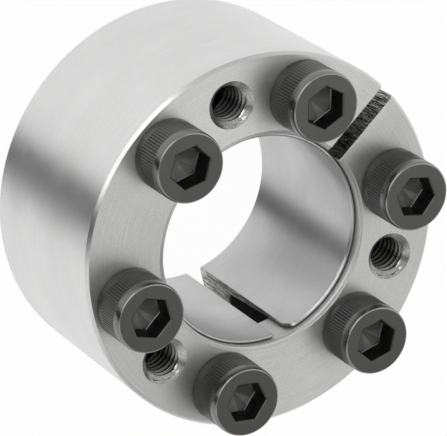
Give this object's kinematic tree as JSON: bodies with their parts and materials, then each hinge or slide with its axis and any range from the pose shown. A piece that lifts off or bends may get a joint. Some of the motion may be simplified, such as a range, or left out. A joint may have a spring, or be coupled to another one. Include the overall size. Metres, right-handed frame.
{
  "type": "shaft locking assembly",
  "caption": "Self-centring keyless shaft locking assembly: a slit outer ring and a slit wedge inner ring, drawn together by a circle of socket head clamp screws",
  "frame": {"origin": "centre of the outer ring's rear rim, which the device stands on", "axes": "+Z along the shaft axis from the rear rim towards the screw heads; +Y through the first jacking hole"},
  "size_m": [0.055, 0.055, 0.0345],
  "materials": {
    "ground_steel": "satin, turned and ground",
    "bore_steel": "fine turned",
    "black_oxide_steel": "black oxide"
  },
  "bodies": {
    "outer_ring": {"outer_ring": "ground_steel"},
    "inner_ring": {"inner_ring": "bore_steel"},
    "clamp_screw_1": {"clamp_screw_1": "black_oxide_steel"},
    "clamp_screw_2": {"clamp_screw_2": "black_oxide_steel"},
    "clamp_screw_3": {"clamp_screw_3": "black_oxide_steel"},
    "clamp_screw_4": {"clamp_screw_4": "black_oxide_steel"},
    "clamp_screw_5": {"clamp_screw_5": "black_oxide_steel"},
    "clamp_screw_6": {"clamp_screw_6": "black_oxide_steel"}
  },
  "joints": [
    {"name": "screw_1_turn", "type": "hinge", "parent": "outer_ring", "child": "clamp_screw_1", "pos_m": [-0.01075, 0.01862, 0.028], "axis": [0, 0, -1], "range_deg": [0, 360]},
    {"name": "screw_2_turn", "type": "hinge", "parent": "outer_ring", "child": "clamp_screw_2", "pos_m": [0.01075, 0.01862, 0.028], "axis": [0, 0, -1], "range_deg": [0, 360]},
    {"name": "screw_3_turn", "type": "hinge", "parent": "outer_ring", "child": "clamp_screw_3", "pos_m": [0.0215, 0, 0.028], "axis": [0, 0, -1], "range_deg": [0, 360]},
    {"name": "screw_4_turn", "type": "hinge", "parent": "outer_ring", "child": "clamp_screw_4", "pos_m": [0.01075, -0.01862, 0.028], "axis": [0, 0, -1], "range_deg": [0, 360]},
    {"name": "screw_5_turn", "type": "hinge", "parent": "outer_ring", "child": "clamp_screw_5", "pos_m": [-0.01075, -0.01862, 0.028], "axis": [0, 0, -1], "range_deg": [0, 360]},
    {"name": "screw_6_turn", "type": "hinge", "parent": "outer_ring", "child": "clamp_screw_6", "pos_m": [-0.0215, 0, 0.028], "axis": [0, 0, -1], "range_deg": [0, 360]},
    {"name": "wedge_slide", "type": "slide", "parent": "outer_ring", "child": "inner_ring", "axis": [0, 0, 1], "range_m": [0, 0.001]}
  ],
  "couplings": [
    {"joint": "screw_1_turn", "follows": "wedge_slide", "rad_per_m": 6283.2},
    {"joint": "screw_2_turn", "follows": "wedge_slide", "rad_per_m": 6283.2},
    {"joint": "screw_3_turn", "follows": "wedge_slide", "rad_per_m": 6283.2},
    {"joint": "screw_4_turn", "follows": "wedge_slide", "rad_per_m": 6283.2},
    {"joint": "screw_5_turn", "follows": "wedge_slide", "rad_per_m": 6283.2},
    {"joint": "screw_6_turn", "follows": "wedge_slide", "rad_per_m": 6283.2}
  ]
}
